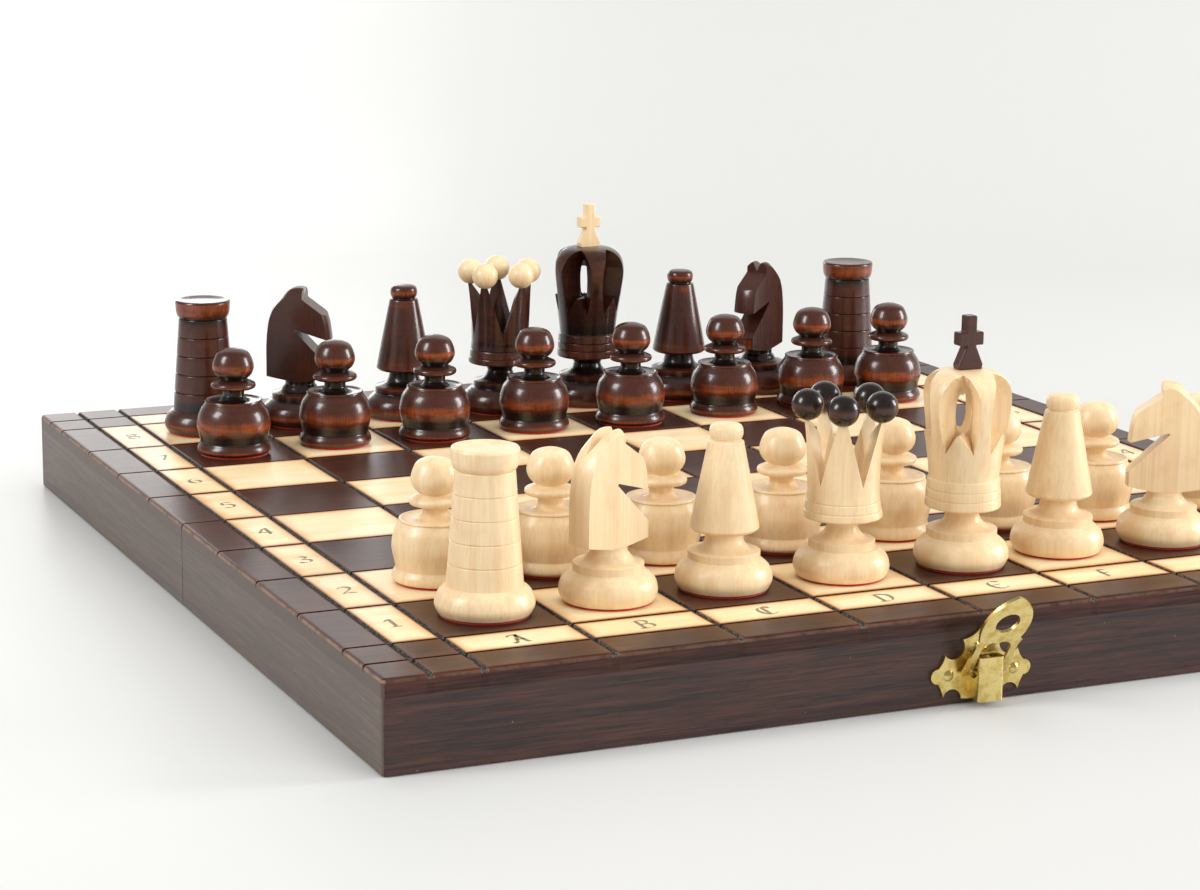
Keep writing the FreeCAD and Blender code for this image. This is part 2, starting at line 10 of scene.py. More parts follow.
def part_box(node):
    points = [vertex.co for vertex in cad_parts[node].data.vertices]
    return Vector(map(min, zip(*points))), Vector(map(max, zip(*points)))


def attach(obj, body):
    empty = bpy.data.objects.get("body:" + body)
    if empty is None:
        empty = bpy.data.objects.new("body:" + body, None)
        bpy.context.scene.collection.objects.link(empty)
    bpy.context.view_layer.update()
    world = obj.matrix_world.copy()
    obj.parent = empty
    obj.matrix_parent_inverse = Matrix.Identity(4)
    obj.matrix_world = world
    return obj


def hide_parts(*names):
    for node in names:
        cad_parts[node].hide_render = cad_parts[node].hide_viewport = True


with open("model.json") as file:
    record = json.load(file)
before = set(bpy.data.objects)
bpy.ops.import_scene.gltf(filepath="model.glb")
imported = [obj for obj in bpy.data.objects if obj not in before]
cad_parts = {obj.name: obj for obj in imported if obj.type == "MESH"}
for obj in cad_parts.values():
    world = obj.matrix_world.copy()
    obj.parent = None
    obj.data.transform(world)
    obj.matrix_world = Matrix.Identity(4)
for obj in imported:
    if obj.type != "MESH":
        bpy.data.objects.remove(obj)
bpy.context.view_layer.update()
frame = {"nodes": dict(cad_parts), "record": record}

MM = 0.001

# ---- the board, in millimetres, as the CAD has it ------------------------------------------------
SQUARE = 32.4
GRID = 4 * SQUARE
STRIP_SIDE, STRIP_FRONT = 13.0, 13.8
SIDE_LINE, FRONT_LINE = GRID + STRIP_SIDE, GRID + STRIP_FRONT
panel_low, panel_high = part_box("front_panel")
HALF_WIDTH = panel_high.x / MM
HALF_DEPTH = -panel_low.y / MM
SEAM = -panel_high.y / MM
THICK = panel_high.z / MM
RAIL_TOP = panel_low.z / MM
CORNER_ROUND = 1.2
TOP_ROUND = 1.0

# ---- men: how the crowns and heads are turned, in degrees about Z --------------------------------
FELT = 0.6
FELT_LOW, FELT_TOP = 0.03, FELT + 0.02          # a disc's underside, and its top just inside the wood
FELT_R, PAWN_FELT_R = 10.9, 10.0
BALL_R, BALL_RING, BALL_Z = 4.03, 9.7, 44.3
CROWN_POINTS = 5
KING_TURN = {"white": 230.5, "black": 226.0}
KING_WINDOW = {"white": 2.0, "black": 1.1}      # half width of a window where it meets the hollow
QUEEN_TURN = {"white": 238.0, "black": 218.0}
KNIGHT_TURN = {"white_knight_b": 18.0, "white_knight_g": 150.0,
               "black_knight_b": -34.0, "black_knight_g": 212.0}
AROUND = 72                 # faces around a turned piece
EDGE_ROUND = {"knight": 0.35, "queen": 0.16, "king": 0.16, "cross": 0.35}
CROWN_DARKER, BALL_DARKER = 0.3, 1.2            # how much less rubbed these are than plain men

# ---- camera and light ----------------------------------------------------------------------------
CAMERA_AT = (-0.3702, -0.7489, 0.2124)
CAMERA_YAW, CAMERA_PITCH, CAMERA_ROLL = 24.35, -12.2, 0.65      # degrees
CAMERA_LENS = 88.9


# ==== node helpers ================================================================================
class Shade:
    """Short calls for one material's node tree. Coordinates are object ones, in millimetres."""

    def __init__(self, name):
        self.material = bpy.data.materials.new(name)
        self.material.use_nodes = True
        self.tree = self.material.node_tree
        self.shader = self.tree.nodes["Principled BSDF"]
        object_coords = self.tree.nodes.new("ShaderNodeTexCoord").outputs["Object"]
        self.place = self.vector("SCALE", object_coords, scale=1 / MM)
        split = self.tree.nodes.new("ShaderNodeSeparateXYZ")
        self.put(split.inputs[0], self.place)
        self.x, self.y, self.z = split.outputs

    def put(self, socket, value):
        if isinstance(value, bpy.types.NodeSocket):
            self.tree.links.new(value, socket)
        elif value is not None:
            socket.default_value = value

    def vector(self, operation, a, b=None, scale=None):
        node = self.tree.nodes.new("ShaderNodeVectorMath")
        node.operation = operation
        self.put(node.inputs[0], a)
        self.put(node.inputs[1], b)
        if scale is not None:
            node.inputs["Scale"].default_value = scale
        return node.outputs[0]

    def math(self, operation, a, b=None, clamp=False):
        node = self.tree.nodes.new("ShaderNodeMath")
        node.operation = operation
        node.use_clamp = clamp
        self.put(node.inputs[0], a)
        self.put(node.inputs[1], b)
        return node.outputs[0]

    def all_of(self, *values):
        result = values[0]
        for value in values[1:]:
            result = self.math("MULTIPLY", result, value)
        return result

    def least(self, *values):
        result = values[0]
        for value in values[1:]:
            result = self.math("MINIMUM", result, value)
        return result

    def spread(self, value, low, high, to_low=0.0, to_high=1.0, smooth=True):
        """Map low..high to to_low..to_high, clamped."""
        node = self.tree.nodes.new("ShaderNodeMapRange")
        node.interpolation_type = "SMOOTHSTEP" if smooth else "LINEAR"
        for socket, number in zip(node.inputs[:5], (value, low, high, to_low, to_high)):
            self.put(socket, number)
        return node.outputs[0]

    def noise(self, size, stretch=(1, 1, 1), detail=3.0, rough=0.55, shift=(0, 0, 0)):
        """Noise whose features are about size millimetres, longer along the stretched axes."""
        scaled = self.vector("MULTIPLY", self.place, tuple(1 / (size * s) for s in stretch))
        if shift != (0, 0, 0):
            scaled = self.vector("ADD", scaled, shift)
        node = self.tree.nodes.new("ShaderNodeTexNoise")
        self.put(node.inputs["Vector"], scaled)
        node.inputs["Scale"].default_value = 1.0
        node.inputs["Detail"].default_value = detail
        node.inputs["Roughness"].default_value = rough
        return node.outputs["Fac"]

    def mix(self, share, a, b, blend="MIX"):
        node = self.tree.nodes.new("ShaderNodeMix")
        node.data_type = "RGBA"
        node.blend_type = blend
        self.put(node.inputs["Factor"], share)
        self.put(node.inputs["A"], a)
        self.put(node.inputs["B"], b)
        return node.outputs["Result"]

    def attribute(self, name):
        node = self.tree.nodes.new("ShaderNodeAttribute")
        node.attribute_name = name
        return node.outputs["Fac"]

    def bump(self, height, distance, strength=1.0):
        node = self.tree.nodes.new("ShaderNodeBump")
        node.inputs["Strength"].default_value = strength
        node.inputs["Distance"].default_value = distance * MM
        self.put(node.inputs["Height"], height)
        self.put(self.shader.inputs["Normal"], node.outputs[0])

    def finish(self, colour, roughness, **constants):
        self.put(self.shader.inputs["Base Color"], colour)
        self.put(self.shader.inputs["Roughness"], roughness)
        for name, value in constants.items():
            self.shader.inputs[name.replace("_", " ")].default_value = value
        return self.material


def rgb(red, green, blue):
    """Linear colour from 0-255 display values."""
    def linear(value):
        value /= 255
        return value / 12.92 if value <= 0.04045 else ((value + 0.055) / 1.055) ** 2.4
    return (linear(red), linear(green), linear(blue), 1.0)


# ==== materials ===================================================================================
SIDE_SHEEN, SIDE_SHEEN_COLOUR = 0.55, rgb(104, 90, 80)      # share and colour of a painted sheen on the side rails: grey standing in for the reflection of the bright table


def frame_wood(shade, along):
    """Dark stained wood with fine streaks along one axis; returns its colour and a height."""
    stretch = {"x": (26, 1, 1), "y": (1, 26, 1)}[along]
    fine = shade.noise(0.45, stretch, detail=4.0, rough=0.7)
    wide = shade.noise(1.3, stretch, detail=3.0, rough=0.65, shift=(3.1, 7.7, 1.3))
    cloud = shade.noise(16.0, (2, 2, 1), detail=2.0)
    streak = shade.math("ADD", shade.math("MULTIPLY", fine, 0.5), shade.math("MULTIPLY", wide, 0.5))
    streak = shade.spread(streak, 0.34, 0.7)
    colour = shade.mix(streak, rgb(28, 18, 17), rgb(86, 50, 40))
    colour = shade.mix(shade.spread(cloud, 0.4, 0.75, 0, 0.45), colour, rgb(40, 30, 32))
    return colour, streak


def make_frame_material(along):
    shade = Shade("frame_wood_" + along)
    colour, streak = frame_wood(shade, along)
    # Rails along y get a painted sheen: grey mixed into their colour in place of the reflection of the
    # bright table at their side.
    if along == "y":
        colour = shade.mix(SIDE_SHEEN, colour, SIDE_SHEEN_COLOUR)
    worn = shade.noise(1.1, (1, 1, 1), detail=1.0, shift=(5, 2, 9))
    colour = shade.mix(shade.spread(worn, 0.775, 0.80, 0, 0.5), colour, rgb(150, 130, 115))
    shade.bump(streak, 0.04)
    return shade.finish(colour, shade.spread(streak, 0, 1, 0.38, 0.30), Specular_IOR_Level=0.6)


def nearest_line(shade, across, strip_line):
    """Distance to the nearest groove across one direction, and the number of the square."""
    scaled = shade.math("ADD", shade.math("MULTIPLY", across, 1 / SQUARE), 4.0)
    number = shade.math("FLOOR", scaled)
    part = shade.math("SUBTRACT", scaled, number)
    inside = shade.math("MULTIPLY", shade.least(part, shade.math("SUBTRACT", 1.0, part)), SQUARE)
    away = shade.math("ABSOLUTE", across)
    beyond = shade.math("MULTIPLY", shade.math("GREATER_THAN", away, GRID), 50.0)
    inside = shade.math("ADD", inside, beyond)
    to_grid = shade.math("ABSOLUTE", shade.math("SUBTRACT", away, GRID))
    to_strip = shade.math("ABSOLUTE", shade.math("SUBTRACT", away, strip_line))
    return shade.least(inside, to_grid, to_strip), number, away


def make_board_material():
    """Chequered panel: burnt edges round each light cell, charred grooves, stained sides; the left and
    right sides carry a painted grey sheen.
    """
    shade = Shade("board_face")
    to_file, column, away_x = nearest_line(shade, shade.x, SIDE_LINE)
    to_rank, row, away_y = nearest_line(shade, shade.y, FRONT_LINE)
    nearest = shade.least(to_file, to_rank)
    in_x = shade.math("LESS_THAN", away_x, GRID)
    in_y = shade.math("LESS_THAN", away_y, GRID)
    odd = shade.math("MODULO", shade.math("ADD", column, row), 2.0)
    light = shade.all_of(in_x, in_y, odd)
    side_strip = shade.all_of(in_y, shade.math("SUBTRACT", 1.0, in_x),
                              shade.math("LESS_THAN", away_x, SIDE_LINE))
    front_strip = shade.all_of(in_x, shade.math("SUBTRACT", 1.0, in_y),
                               shade.math("LESS_THAN", away_y, FRONT_LINE))
    light = shade.math("ADD", light, shade.math("ADD", side_strip, front_strip), clamp=True)

    grain = shade.noise(0.5, (26, 1, 1), detail=4.0, rough=0.6)
    figure = shade.noise(7.0, (5, 1, 1), detail=3.0)
    patch = shade.noise(14.0, detail=2.0, shift=(4, 4, 4))
    ragged = shade.noise(2.6, (1, 1, 1), detail=3.0, shift=(8, 1, 3))

    cream = shade.mix(shade.spread(figure, 0.35, 0.7), rgb(250, 230, 190), rgb(242, 213, 162))
    cream = shade.mix(shade.spread(grain, 0.45, 0.8, 0, 0.35), cream, rgb(224, 184, 130))
    reach = shade.math("ADD", shade.math("MULTIPLY", patch, 5.5), shade.math("MULTIPLY", ragged, 1.4))
    burnt = shade.math("DIVIDE", shade.math("SUBTRACT", nearest, 0.7), reach)
    burn = shade.math("SUBTRACT", 1.0, burnt, clamp=True)
    burn = shade.math("POWER", burn, 1.7)
    cream = shade.mix(shade.math("MULTIPLY", burn, 0.85), cream, rgb(214, 140, 66))
    scorch = shade.spread(nearest, 0.75, 1.5, 0.75, 0.0)
    cream = shade.mix(scorch, cream, rgb(110, 62, 30))

    dark_grain = shade.spread(grain, 0.35, 0.7)
    dark = shade.mix(dark_grain, rgb(38, 19, 14), rgb(78, 44, 30))
    dark = shade.mix(shade.spread(figure, 0.45, 0.75, 0, 0.5), dark, rgb(84, 40, 24))
    dark = shade.mix(shade.math("MULTIPLY", burn, 0.35), dark, rgb(104, 50, 24))
    colour = shade.mix(light, dark, cream)

    below = shade.spread(shade.z, THICK - 0.20, THICK - 0.06, 1.0, 0.0)
    in_file = shade.all_of(below, shade.math("LESS_THAN", to_file, 0.95))
    in_rank = shade.spread(to_rank, 0.44, 0.56, 1.0, 0.0)
    char = shade.noise(0.45, (1, 1.6, 1), detail=3.0, rough=0.7)
    charcoal = shade.mix(shade.spread(char, 0.42, 0.68), rgb(34, 31, 30), rgb(118, 112, 104))
    colour = shade.mix(in_file, colour, charcoal)

    side_wood, front_wood = (frame_wood(shade, along)[0] for along in ("y", "x"))
    # Left and right faces of the panel: stained wood with a painted sheen, grey in place of the reflection
    # of the table beside them.
    at_side = shade.math("GREATER_THAN", away_x, HALF_WIDTH - 0.6)
    side = shade.mix(at_side, front_wood, shade.mix(SIDE_SHEEN, side_wood, SIDE_SHEEN_COLOUR))
    is_side = shade.spread(shade.z, THICK - 1.3, THICK - 0.9, 1.0, 0.0)
    colour = shade.mix(is_side, colour, side)
    edge = shade.least(shade.spread(shade.z, THICK - 1.25, THICK - 0.85), shade.spread(
        shade.z, THICK - 0.5, THICK - 0.15, 1.0, 0.0))
    at_rim = shade.math("MAXIMUM", shade.math("GREATER_THAN", away_x, HALF_WIDTH - 1.0),
                        shade.math("MULTIPLY",
                                   shade.math("GREATER_THAN", away_y, HALF_DEPTH - 1.0), 0.3))
    colour = shade.mix(shade.all_of(edge, at_rim, shade.spread(ragged, 0.3, 0.6, 0.2, 0.8)), colour,
                       rgb(158, 126, 106))
    in_rank = shade.all_of(in_rank, shade.math("GREATER_THAN", shade.z, THICK - 1.6))
    colour = shade.mix(in_rank, colour, rgb(20, 15, 13))

    rough = shade.math("ADD", shade.math("MULTIPLY", in_file, 0.35), 0.33)
    height = shade.math("ADD", grain, shade.math("MULTIPLY", shade.all_of(char, in_file), 3.0))
    shade.bump(height, 0.04)
    return shade.finish(colour, rough, Specular_IOR_Level=0.3)


def make_light_wood():
    """Pale lacquered maple: fine upright grain, low in contrast, and a few warm clouds."""
    shade = Shade("light_wood")
    lines = shade.noise(0.6, (1, 1, 60), detail=3.0, rough=0.6)
    flecks = shade.noise(0.35, (1, 1, 7), detail=2.0, shift=(4, 4, 2))
    bands = shade.noise(3.4, (1, 1, 14), detail=2.0, shift=(2, 5, 1))
    cloud = shade.noise(6.5, (1, 1, 1.2), detail=2.0, shift=(1, 8, 4))
    colour = shade.mix(shade.spread(bands, 0.35, 0.68), rgb(246, 222, 181), rgb(239, 210, 166))
    colour = shade.mix(shade.spread(lines, 0.42, 0.72, 0, 0.34), colour, rgb(222, 186, 136))
    colour = shade.mix(shade.spread(flecks, 0.62, 0.8, 0, 0.22), colour, rgb(205, 160, 110))
    colour = shade.mix(shade.spread(cloud, 0.5, 0.78, 0, 0.5), colour, rgb(230, 186, 142))
    shade.bump(lines, 0.02, 0.5)
    return shade.finish(colour, shade.spread(lines, 0.3, 0.7, 0.34, 0.42),
                        Specular_IOR_Level=0.4, Coat_Weight=0.3, Coat_Roughness=0.2)


def make_dark_wood():
    """Dark stain: near-black in hollows, brown on plain walls, rubbed to orange where proud."""
    shade = Shade("dark_wood")
    lines = shade.noise(0.5, (1, 1, 18), detail=4.0, rough=0.65)
    rings = shade.noise(1.1, (14, 14, 1), detail=2.0, shift=(7, 2, 5))
    cloud = shade.noise(3.6, (1, 1, 1), detail=3.0, shift=(3, 3, 3))
    rub = shade.math("ADD", shade.attribute("rub"),
                     shade.math("MULTIPLY", shade.math("SUBTRACT", cloud, 0.5), 0.8))
    for pattern, weight in ((lines, 0.55), (rings, 0.75)):
        rub = shade.math("ADD", rub, shade.math("MULTIPLY", shade.math("SUBTRACT", pattern, 0.5), weight))
    colour = shade.mix(shade.spread(rub, -0.9, 0.3), rgb(24, 13, 10), rgb(70, 33, 21))
    colour = shade.mix(shade.spread(rub, 0.5, 1.35), colour, rgb(150, 68, 24))
    shade.bump(lines, 0.03, 0.6)
    return shade.finish(colour, shade.spread(lines, 0.3, 0.7, 0.26, 0.36),
                        Specular_IOR_Level=0.4, Coat_Weight=0.5, Coat_Roughness=0.13)


def make_felt():
    shade = Shade("red_felt")
    fuzz = shade.noise(0.25, detail=4.0, rough=0.7)
    colour = shade.mix(fuzz, rgb(150, 24, 12), rgb(205, 52, 28))
    shade.bump(fuzz, 0.15)
    return shade.finish(colour, 0.95, Specular_IOR_Level=0.2, Sheen_Weight=0.4)


def make_brass():
    """Rolled brass-plated sheet with faint brushing and tarnish."""
    shade = Shade("brass")
    brushed = shade.noise(0.3, (1, 1, 10), detail=3.0)
    tarnish = shade.noise(2.4, detail=3.0, shift=(6, 1, 2))
    colour = shade.mix(shade.spread(tarnish, 0.4, 0.75), rgb(232, 210, 140), rgb(206, 174, 92))
    shade.bump(brushed, 0.02, 0.5)
    return shade.finish(colour, shade.spread(tarnish, 0.3, 0.8, 0.24, 0.42), Metallic=1.0)


def make_ink():
    shade = Shade("coordinate_ink")
    patchy = shade.noise(0.6, detail=3.0)
    colour = shade.mix(shade.spread(patchy, 0.35, 0.7), rgb(112, 100, 82), rgb(168, 148, 116))
    return shade.finish(colour, 0.45, Specular_IOR_Level=0.3)


# ==== mesh helpers ================================================================================
def new_piece(name, mesh, material, node, replaces=True):
    """Link a finished mesh as a piece that rides with the body of a CAD node."""
    piece = bpy.data.objects.new(name, mesh)
    bpy.context.scene.collection.objects.link(piece)
    mesh.materials.append(material)
    body = next(b for b, nodes in frame["record"]["behaviour"]["bodies"].items() if node in nodes)
    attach(piece, body)
    if replaces:
        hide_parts(node)
    return piece


def arc_points(a, b, c, step):
    """Points on the circle through a, b and c, after a and up to c."""
    (ax, ay), (bx, by), (cx, cy) = a, b, c
    d = 2 * (ax * (by - cy) + bx * (cy - ay) + cx * (ay - by))
    sa, sb, sc = ax * ax + ay * ay, bx * bx + by * by, cx * cx + cy * cy
    ox = (sa * (by - cy) + sb * (cy - ay) + sc * (ay - by)) / d
    oy = (sa * (cx - bx) + sb * (ax - cx) + sc * (bx - ax)) / d
    radius = math.dist(a, (ox, oy))
    start = math.atan2(ay - oy, ax - ox)
    turn_b = (math.atan2(by - oy, bx - ox) - start) % math.tau
    turn_c = (math.atan2(cy - oy, cx - ox) - start) % math.tau
    if turn_b > turn_c:
        turn_c -= math.tau
    count = max(2, math.ceil(abs(turn_c) * radius / step))
    return [(ox + radius * math.cos(start + turn_c * k / count),
             oy + radius * math.sin(start + turn_c * k / count)) for k in range(1, count + 1)]


def spline_points(points, step):
    """Points on a smooth curve through the given ones, after the first."""
    ends = [tuple(2 * p - q for p, q in zip(points[0], points[1]))] + points
    ends.append(tuple(2 * p - q for p, q in zip(points[-1], points[-2])))
    result = []
    for i in range(1, len(ends) - 2):
        p0, p1, p2, p3 = (Vector(p) for p in ends[i - 1:i + 3])
        count = max(2, math.ceil((p2 - p1).length / step))
        for k in range(1, count + 1):
            t = k / count
            q = 0.5 * (2 * p1 + (p2 - p0) * t + (2 * p0 - 5 * p1 + 4 * p2 - p3) * t * t
                       + (3 * p1 - p0 - 3 * p2 + p3) * t ** 3)
            result.append((q.x, q.y))
    return result


def outline(start, stretches, step=0.6, ease=0.16):
    """Dense points along stretches of 1 point (line), 2 (arc) or more (spline), corners eased."""
    points, corners = [start], set()
    for stretch in stretches:
        here = points[-1]
        corners.add(len(points) - 1)
        if len(stretch) == 1:
            count = max(1, math.ceil(math.dist(here, stretch[0]) / (2.5 * step)))
            points += [tuple(p + (q - p) * k / count for p, q in zip(here, stretch[0]))
                       for k in range(1, count + 1)]
        elif len(stretch) == 2:
            points += arc_points(here, stretch[0], stretch[1], step)
        else:
            points += spline_points([here] + stretch, step)
    return ease_corners(points, corners, ease)


def ease_corners(points, corners, ease):
    """Round each sharp corner of a dense outline by a small radius."""
    result = [points[0]]
    for i in range(1, len(points) - 1):
        p, here, q = Vector(points[i - 1]), Vector(points[i]), Vector(points[i + 1])
        if i in corners and (here - p).angle(q - here, 0) > math.radians(16):
            back = (p - here).normalized() * min(ease, 0.45 * (p - here).length)
            on = (q - here).normalized() * min(ease, 0.45 * (q - here).length)
            result += [tuple(here + back), tuple(here + (back + on) * 0.25), tuple(here + on)]
        else:
            result.append(points[i])
    return result + [points[-1]]


def convexity(points):
    """How far each point of a profile stands proud (+) or lies hollow (-), from -1 to 1.

    What faces up or down counts as less proud, because it is never rubbed.
    """
    reach, full = 7.0, 0.16         # square of the radius looked at, and the height that counts as 1
    values = []
    for i, point in enumerate(points):
        here = Vector(point)
        total, weight = Vector((0, 0)), 0
        for other in points:
            w = math.exp(-(Vector(other) - here).length_squared / reach)
            total += Vector(other) * w
            weight += w
        ahead = Vector(points[min(i + 1, len(points) - 1)]) - Vector(points[max(i - 1, 0)])
        normal = Vector((ahead.y, -ahead.x)).normalized()
        proud = max(-1.0, min(1.0, (here - total / weight).dot(normal) / full))
        keep = 9 if normal.y > 0 else 3
        values.append(proud * (1 - normal.y ** 2) ** keep if proud > 0 else proud)
    return values


def lathe(name, points, centre, around=AROUND):
    """Turned mesh about a vertical axis from a profile that starts and ends on the axis."""
    verts, faces, rub = [], [], []
    rings = []
    for (r, z), proud in zip(points, convexity(points)):
        if r < 1e-4:
            rings.append([len(verts)])
            verts.append((centre[0], centre[1], centre[2] + z))
            rub.append(proud)
            continue
        rings.append(list(range(len(verts), len(verts) + around)))
        for k in range(around):
            a = math.tau * k / around
            verts.append((centre[0] + r * math.cos(a), centre[1] + r * math.sin(a), centre[2] + z))
            rub.append(proud)
    for low, high in zip(rings, rings[1:]):
        for k in range(around):
            n = (k + 1) % around
            if len(low) == 1:
                faces.append((low[0], high[n], high[k]))
            elif len(high) == 1:
                faces.append((low[k], low[n], high[0]))
            else:
                faces.append((low[k], low[n], high[n], high[k]))
    mesh = bpy.data.meshes.new(name)
    mesh.from_pydata([tuple(c * MM for c in v) for v in verts], [], faces)
    mesh.attributes.new("rub", "FLOAT", "POINT").data.foreach_set("value", rub)
    smooth(mesh)
    return mesh


def smooth(mesh, sharp=40.0):
    mesh.shade_smooth()
    mesh.set_sharp_from_angle(angle=math.radians(sharp))


def solid_mesh(name, verts, faces):
    """Mesh of a closed solid, given in millimetres, triangulated and facing outwards."""
    work = bmesh.new()
    made = [work.verts.new([c * MM for c in v]) for v in verts]
    for face in faces:
        work.faces.new([made[i] for i in face])
    work.normal_update()
    bmesh.ops.triangulate(work, faces=work.faces)
    bmesh.ops.recalc_face_normals(work, faces=work.faces)
    mesh = bpy.data.meshes.new(name)
    work.to_mesh(mesh)
    work.free()
    return mesh


def extruded(name, points, low, high, place):
    """Closed prism of a 2-D outline between two depths; place maps (u, v, depth) to millimetres."""
    count = len(points)
    verts = [place(u, v, low) for u, v in points] + [place(u, v, high) for u, v in points]
    faces = [tuple(range(count))[::-1], tuple(range(count, 2 * count))]
    faces += [(k, (k + 1) % count, count + (k + 1) % count, count + k) for k in range(count)]
    return solid_mesh(name, verts, faces)


def carve(mesh, cutters, operation="DIFFERENCE"):
    """Cut or join solid meshes with exact booleans and return the resulting mesh."""
    body = bpy.data.objects.new("carving", mesh)
    bpy.context.scene.collection.objects.link(body)
    helpers = []
    for index, cutter in enumerate(cutters):
        helper = bpy.data.objects.new("cutter", cutter)
        bpy.context.scene.collection.objects.link(helper)
        modifier = body.modifiers.new("cut%d" % index, "BOOLEAN")
        modifier.operation = operation
        modifier.solver = "EXACT"
        modifier.object = helper
        helpers.append(helper)
    bpy.context.view_layer.update()
    result = bpy.data.meshes.new_from_object(body.evaluated_get(bpy.context.evaluated_depsgraph_get()))
    for helper in helpers + [body]:
        bpy.data.objects.remove(helper)
    return result


def soften(piece, width, angle=35.0, segments=2):
    """Round a piece's hard edges and keep its flat faces flat."""
    bevel = piece.modifiers.new("soft_edges", "BEVEL")
    bevel.width = width * MM
    bevel.segments = segments
    bevel.limit_method = "ANGLE"
    bevel.angle_limit = math.radians(angle)
    bevel.miter_outer = "MITER_ARC"
    piece.modifiers.new("flat_faces", "WEIGHTED_NORMAL").keep_sharp = True


# ==== board =======================================================================================
FILE_GROOVE = ((1.15, 0.0), (0.86, 0.04), (0.72, 0.18), (0.5, 0.78), (0.0, 0.84))
RANK_GROOVE = ((0.62, 0.0), (0.46, 0.04), (0.38, 0.16), (0.24, 0.76), (0.0, 0.8))
SEAM_ROUND = 0.3
ROUND_STEPS = (0.0, 0.12, 0.34, 0.66, 1.0, 1.6)


def groove_depth(value, lines, section):
    """Depth of the nearest groove at a coordinate."""
    gap = min(abs(value - line) for line in lines)
    for (far, shallow), (near, deep) in zip(section, section[1:]):
        if near <= gap <= far:
            return shallow + (deep - shallow) * (far - gap) / (far - near)
    return 0.0


def rounding(gap, radius):
    """How far a rounded edge has dropped at a distance in from it."""
    lean = min(radius, max(0.0, radius - gap))
    return radius - math.sqrt(radius ** 2 - lean ** 2)


def panel_mesh(side):
    """Height-field panel with milled grooves, rounded rim and corners, closed underneath."""
    file_lines = [SQUARE * k for k in range(-4, 5)] + [-SIDE_LINE, SIDE_LINE]
    rank_lines = [side * SQUARE * k for k in range(1, 5)] + [side * FRONT_LINE]
    xs = sorted({round(sign * (HALF_WIDTH - s), 4) for s in ROUND_STEPS for sign in (-1, 1)}
                | {round(line + sign * gap, 4) for line in file_lines for gap, _ in FILE_GROOVE
                   for sign in (-1, 1)})
    ys = sorted({round(side * (HALF_DEPTH - s), 4) for s in ROUND_STEPS}
                | {round(side * (SEAM + s), 4) for s in (0.0, 0.1, 0.3)}
                | {round(line + sign * gap, 4) for line in rank_lines for gap, _ in RANK_GROOVE
                   for sign in (-1, 1)})

    def surface(x, y):
        a = max(0.0, (abs(x) - (HALF_WIDTH - CORNER_ROUND)) / CORNER_ROUND)
        b = max(0.0, (abs(y) - (HALF_DEPTH - CORNER_ROUND)) / CORNER_ROUND)
        px, py = x, y
        if a > 0 and b > 0:
            round_a, round_b = a * math.sqrt(1 - b * b / 2), b * math.sqrt(1 - a * a / 2)
            px = math.copysign(HALF_WIDTH - CORNER_ROUND * (1 - round_a), x)
            py = math.copysign(HALF_DEPTH - CORNER_ROUND * (1 - round_b), y)
            from_edge = CORNER_ROUND * (1 - math.hypot(round_a, round_b))
        else:
            from_edge = min(HALF_WIDTH - abs(x), HALF_DEPTH - abs(y))
        drop = max(rounding(from_edge, TOP_ROUND), rounding(abs(y) - SEAM, SEAM_ROUND))
        deep = max(groove_depth(x, file_lines, FILE_GROOVE), groove_depth(y, rank_lines, RANK_GROOVE))
        return px, py, THICK - max(drop, deep)

    verts = [surface(x, y) for y in ys for x in xs]
    across, along = len(xs), len(ys)
    faces = [(j * across + i, j * across + i + 1, (j + 1) * across + i + 1, (j + 1) * across + i)
             for j in range(along - 1) for i in range(across - 1)]
    rim = ([i for i in range(across)] + [j * across + across - 1 for j in range(1, along)]
           + [(along - 1) * across + i for i in range(across - 2, -1, -1)]
           + [j * across for j in range(along - 2, 0, -1)])
    under = len(verts)
    verts += [(verts[i][0], verts[i][1], RAIL_TOP) for i in rim]
    count = len(rim)
    faces += [(rim[(k + 1) % count], rim[k], under + k, under + (k + 1) % count) for k in range(count)]
    faces.append(tuple(under + k for k in range(count - 1, -1, -1)))
    mesh = bpy.data.meshes.new("panel")
    mesh.from_pydata([tuple(c * MM for c in v) for v in verts], [], faces)
    smooth(mesh, 50.0)
    return mesh


